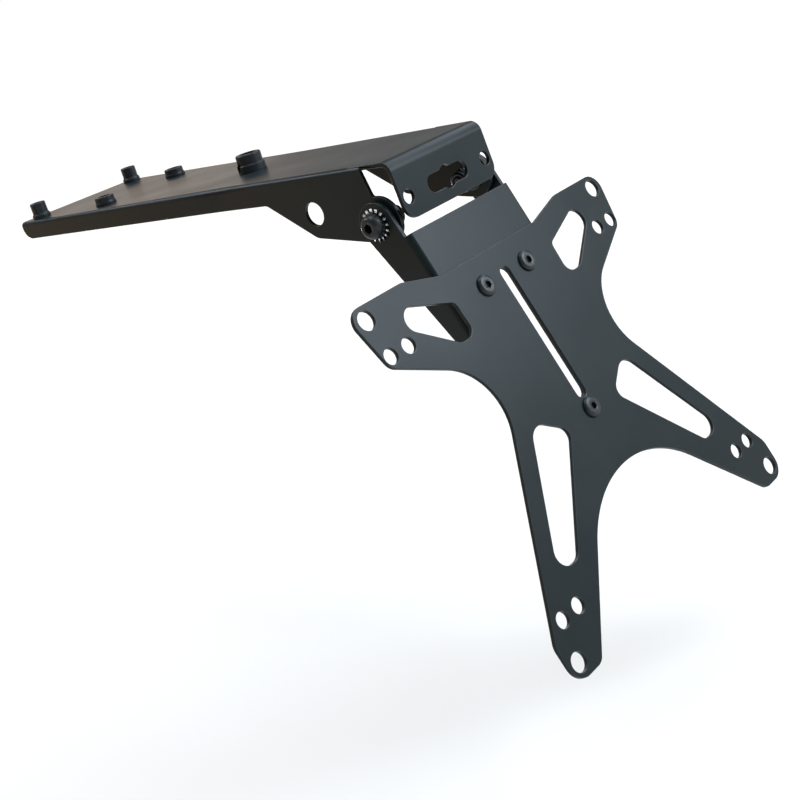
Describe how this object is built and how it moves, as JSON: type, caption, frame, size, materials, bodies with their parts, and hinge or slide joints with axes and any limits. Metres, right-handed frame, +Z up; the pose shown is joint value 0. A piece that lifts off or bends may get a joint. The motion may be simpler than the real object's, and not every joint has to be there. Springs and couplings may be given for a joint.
{
  "type": "motorbike tail tidy",
  "caption": "Tail tidy for a motorbike: a folded tail bracket on spacers, a pivoting arm and a flat, slotted number plate carrier with open arms.",
  "frame": {"origin": "middle of the top face of the large spacer on the tail bracket's top plate", "axes": "+X to the right seen from behind the bike, +Y towards the front of the bike, +Z up"},
  "size_m": [0.1874, 0.3535, 0.2149],
  "materials": {
    "tail_bracket": "satin black powder coat",
    "arm_bracket": "satin black powder coat",
    "plate_carrier": "satin black powder coat",
    "spacer": "black anodised",
    "screw": "black oxide",
    "nut_and_washer": "black oxide",
    "tooth_washer": "bright zinc"
  },
  "bodies": {
    "tail": {"tail_bracket": "tail_bracket", "large_spacer": "spacer", "tall_spacer_left": "spacer", "low_spacer_left": "spacer", "pivot_washer_left": "nut_and_washer", "tooth_washer_left": "tooth_washer", "pivot_screw_left": "screw", "pivot_nut_left": "nut_and_washer", "tall_spacer_right": "spacer", "low_spacer_right": "spacer", "pivot_washer_right": "nut_and_washer", "tooth_washer_right": "tooth_washer", "pivot_screw_right": "screw", "pivot_nut_right": "nut_and_washer"},
    "arm": {"arm_bracket": "arm_bracket", "plate_carrier": "plate_carrier", "plate_screw_left": "screw", "plate_washer_left": "nut_and_washer", "plate_nut_left": "nut_and_washer", "plate_screw_right": "screw", "plate_washer_right": "nut_and_washer", "plate_nut_right": "nut_and_washer", "plate_screw_low": "screw", "plate_washer_low": "nut_and_washer", "plate_nut_low": "nut_and_washer"}
  },
  "joints": [
    {"name": "arm_pivot", "type": "hinge", "parent": "tail", "child": "arm", "pos_m": [0, -0.1083, -0.0343], "axis": [1, 0, 0], "range_deg": [-15, 45]}
  ]
}
